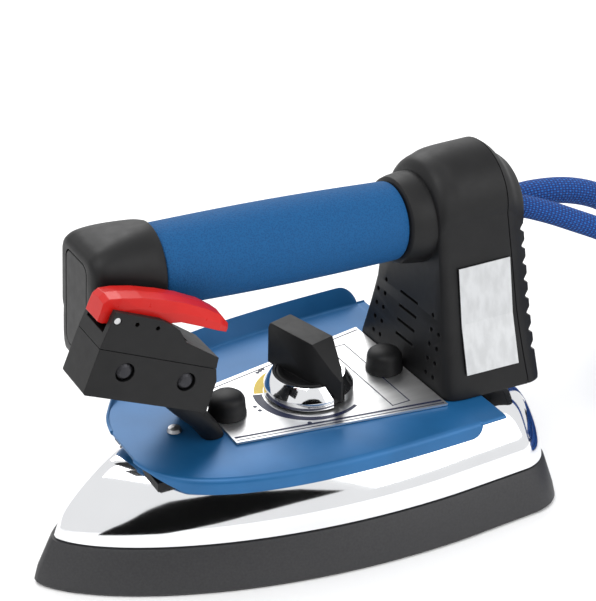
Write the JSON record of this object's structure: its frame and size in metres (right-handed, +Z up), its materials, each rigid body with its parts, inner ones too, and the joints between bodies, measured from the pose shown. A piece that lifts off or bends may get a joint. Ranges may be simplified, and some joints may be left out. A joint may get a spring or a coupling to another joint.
{
  "type": "steam iron",
  "caption": "Professional electric steam iron: flat soleplate under a polished cover, raised blue grip, thumb lever, thermostat knob, ribbed rear housing and braided hose and cable.",
  "frame": {"origin": "middle of the sole face, on the surface the iron stands on", "axes": "+X from nose to heel, +Y away from the thumb-lever side, +Z up from the sole"},
  "size_m": [0.4535, 0.1875, 0.155],
  "materials": {
    "sole_coating": "dark non-stick coating on cast aluminium, matte",
    "cast_aluminium": "as cast",
    "polished_steel": "mirror polished",
    "zinc_steel": "zinc plated",
    "black_oxide": "blackened steel",
    "brass": "machined",
    "blue_anodised": "blue anodised, satin",
    "satin_aluminium": "satin with printed scale",
    "black_plastic": "fine textured",
    "blue_grip": "soft fine-grained sleeve",
    "red_plastic": "smooth moulded",
    "silver_label": "satin foil plate",
    "blue_braid": "woven textile braid",
    "grey_seal": "fibre gasket",
    "white_insulator": "ceramic-filled insulator"
  },
  "bodies": {
    "iron": {"soleplate": "sole_coating", "steam_chamber": "cast_aluminium", "chamber_gasket": "grey_seal", "heating_element": "zinc_steel", "thermostat_body": "white_insulator", "thermal_fuse": "zinc_steel", "chrome_cover": "polished_steel", "front_stud": "zinc_steel", "front_cap_nut": "black_plastic", "front_spacer": "white_insulator", "rear_stud": "zinc_steel", "rear_cap_nut": "black_plastic", "rear_spacer": "white_insulator", "heat_shield": "blue_anodised", "shield_screw": "zinc_steel", "front_insulator": "black_plastic", "scale_plate": "satin_aluminium", "handle_grip": "blue_grip", "handle_tube": "zinc_steel", "front_leg": "black_plastic", "cap_insert": "black_plastic", "leg_screw_left": "zinc_steel", "leg_screw_right": "zinc_steel", "switch_base": "black_plastic", "switch_top": "black_plastic", "lever_pin": "zinc_steel", "switch_screw_front": "black_oxide", "switch_screw_rear": "black_oxide", "microswitch": "white_insulator", "lever_spring": "zinc_steel", "rear_housing": "black_plastic", "rear_cover": "black_plastic", "rating_label": "silver_label", "terminal_block": "white_insulator", "steam_pipe": "brass", "hose_nipple": "brass", "hose_clamp": "zinc_steel", "cable_clamp": "black_plastic", "cover_screw_left": "zinc_steel", "cover_screw_right": "zinc_steel", "hose_strain_relief": "black_plastic", "cable_strain_relief": "black_plastic", "steam_hose_run": "blue_braid", "power_cable_run": "blue_braid", "steam_hose_coil": "blue_braid", "power_cable_coil": "blue_braid", "power_cable_plug": "black_plastic", "plug_pin_1": "brass", "plug_pin_2": "brass", "plug_pin_3": "brass", "steam_hose_fitting": "brass"},
    "knob": {"thermostat_knob": "black_plastic", "knob_ring": "polished_steel", "thermostat_shaft": "brass"},
    "lever": {"trigger_lever": "red_plastic"},
    "plunger": {"switch_plunger": "red_plastic"}
  },
  "joints": [
    {"name": "knob_turn", "type": "hinge", "parent": "iron", "child": "knob", "pos_m": [0.0146, 0, 0.06], "axis": [0, 0, 1], "range_deg": [-172, 16]},
    {"name": "lever_press", "type": "hinge", "parent": "iron", "child": "lever", "pos_m": [-0.08659, -0.02925, 0.13496], "axis": [0, 1, 0], "range_deg": [0, 6], "stiffness_Nm_per_rad": 0.3, "springref_deg": -5.73, "deforming": ["lever_spring"]},
    {"name": "plunger_slide", "type": "slide", "parent": "iron", "child": "plunger", "axis": [-0.4147, 0, -0.91], "range_m": [0, 0.002]}
  ],
  "couplings": [
    {"joint": "plunger_slide", "follows": "lever_press", "m_per_rad": 0.0189}
  ]
}
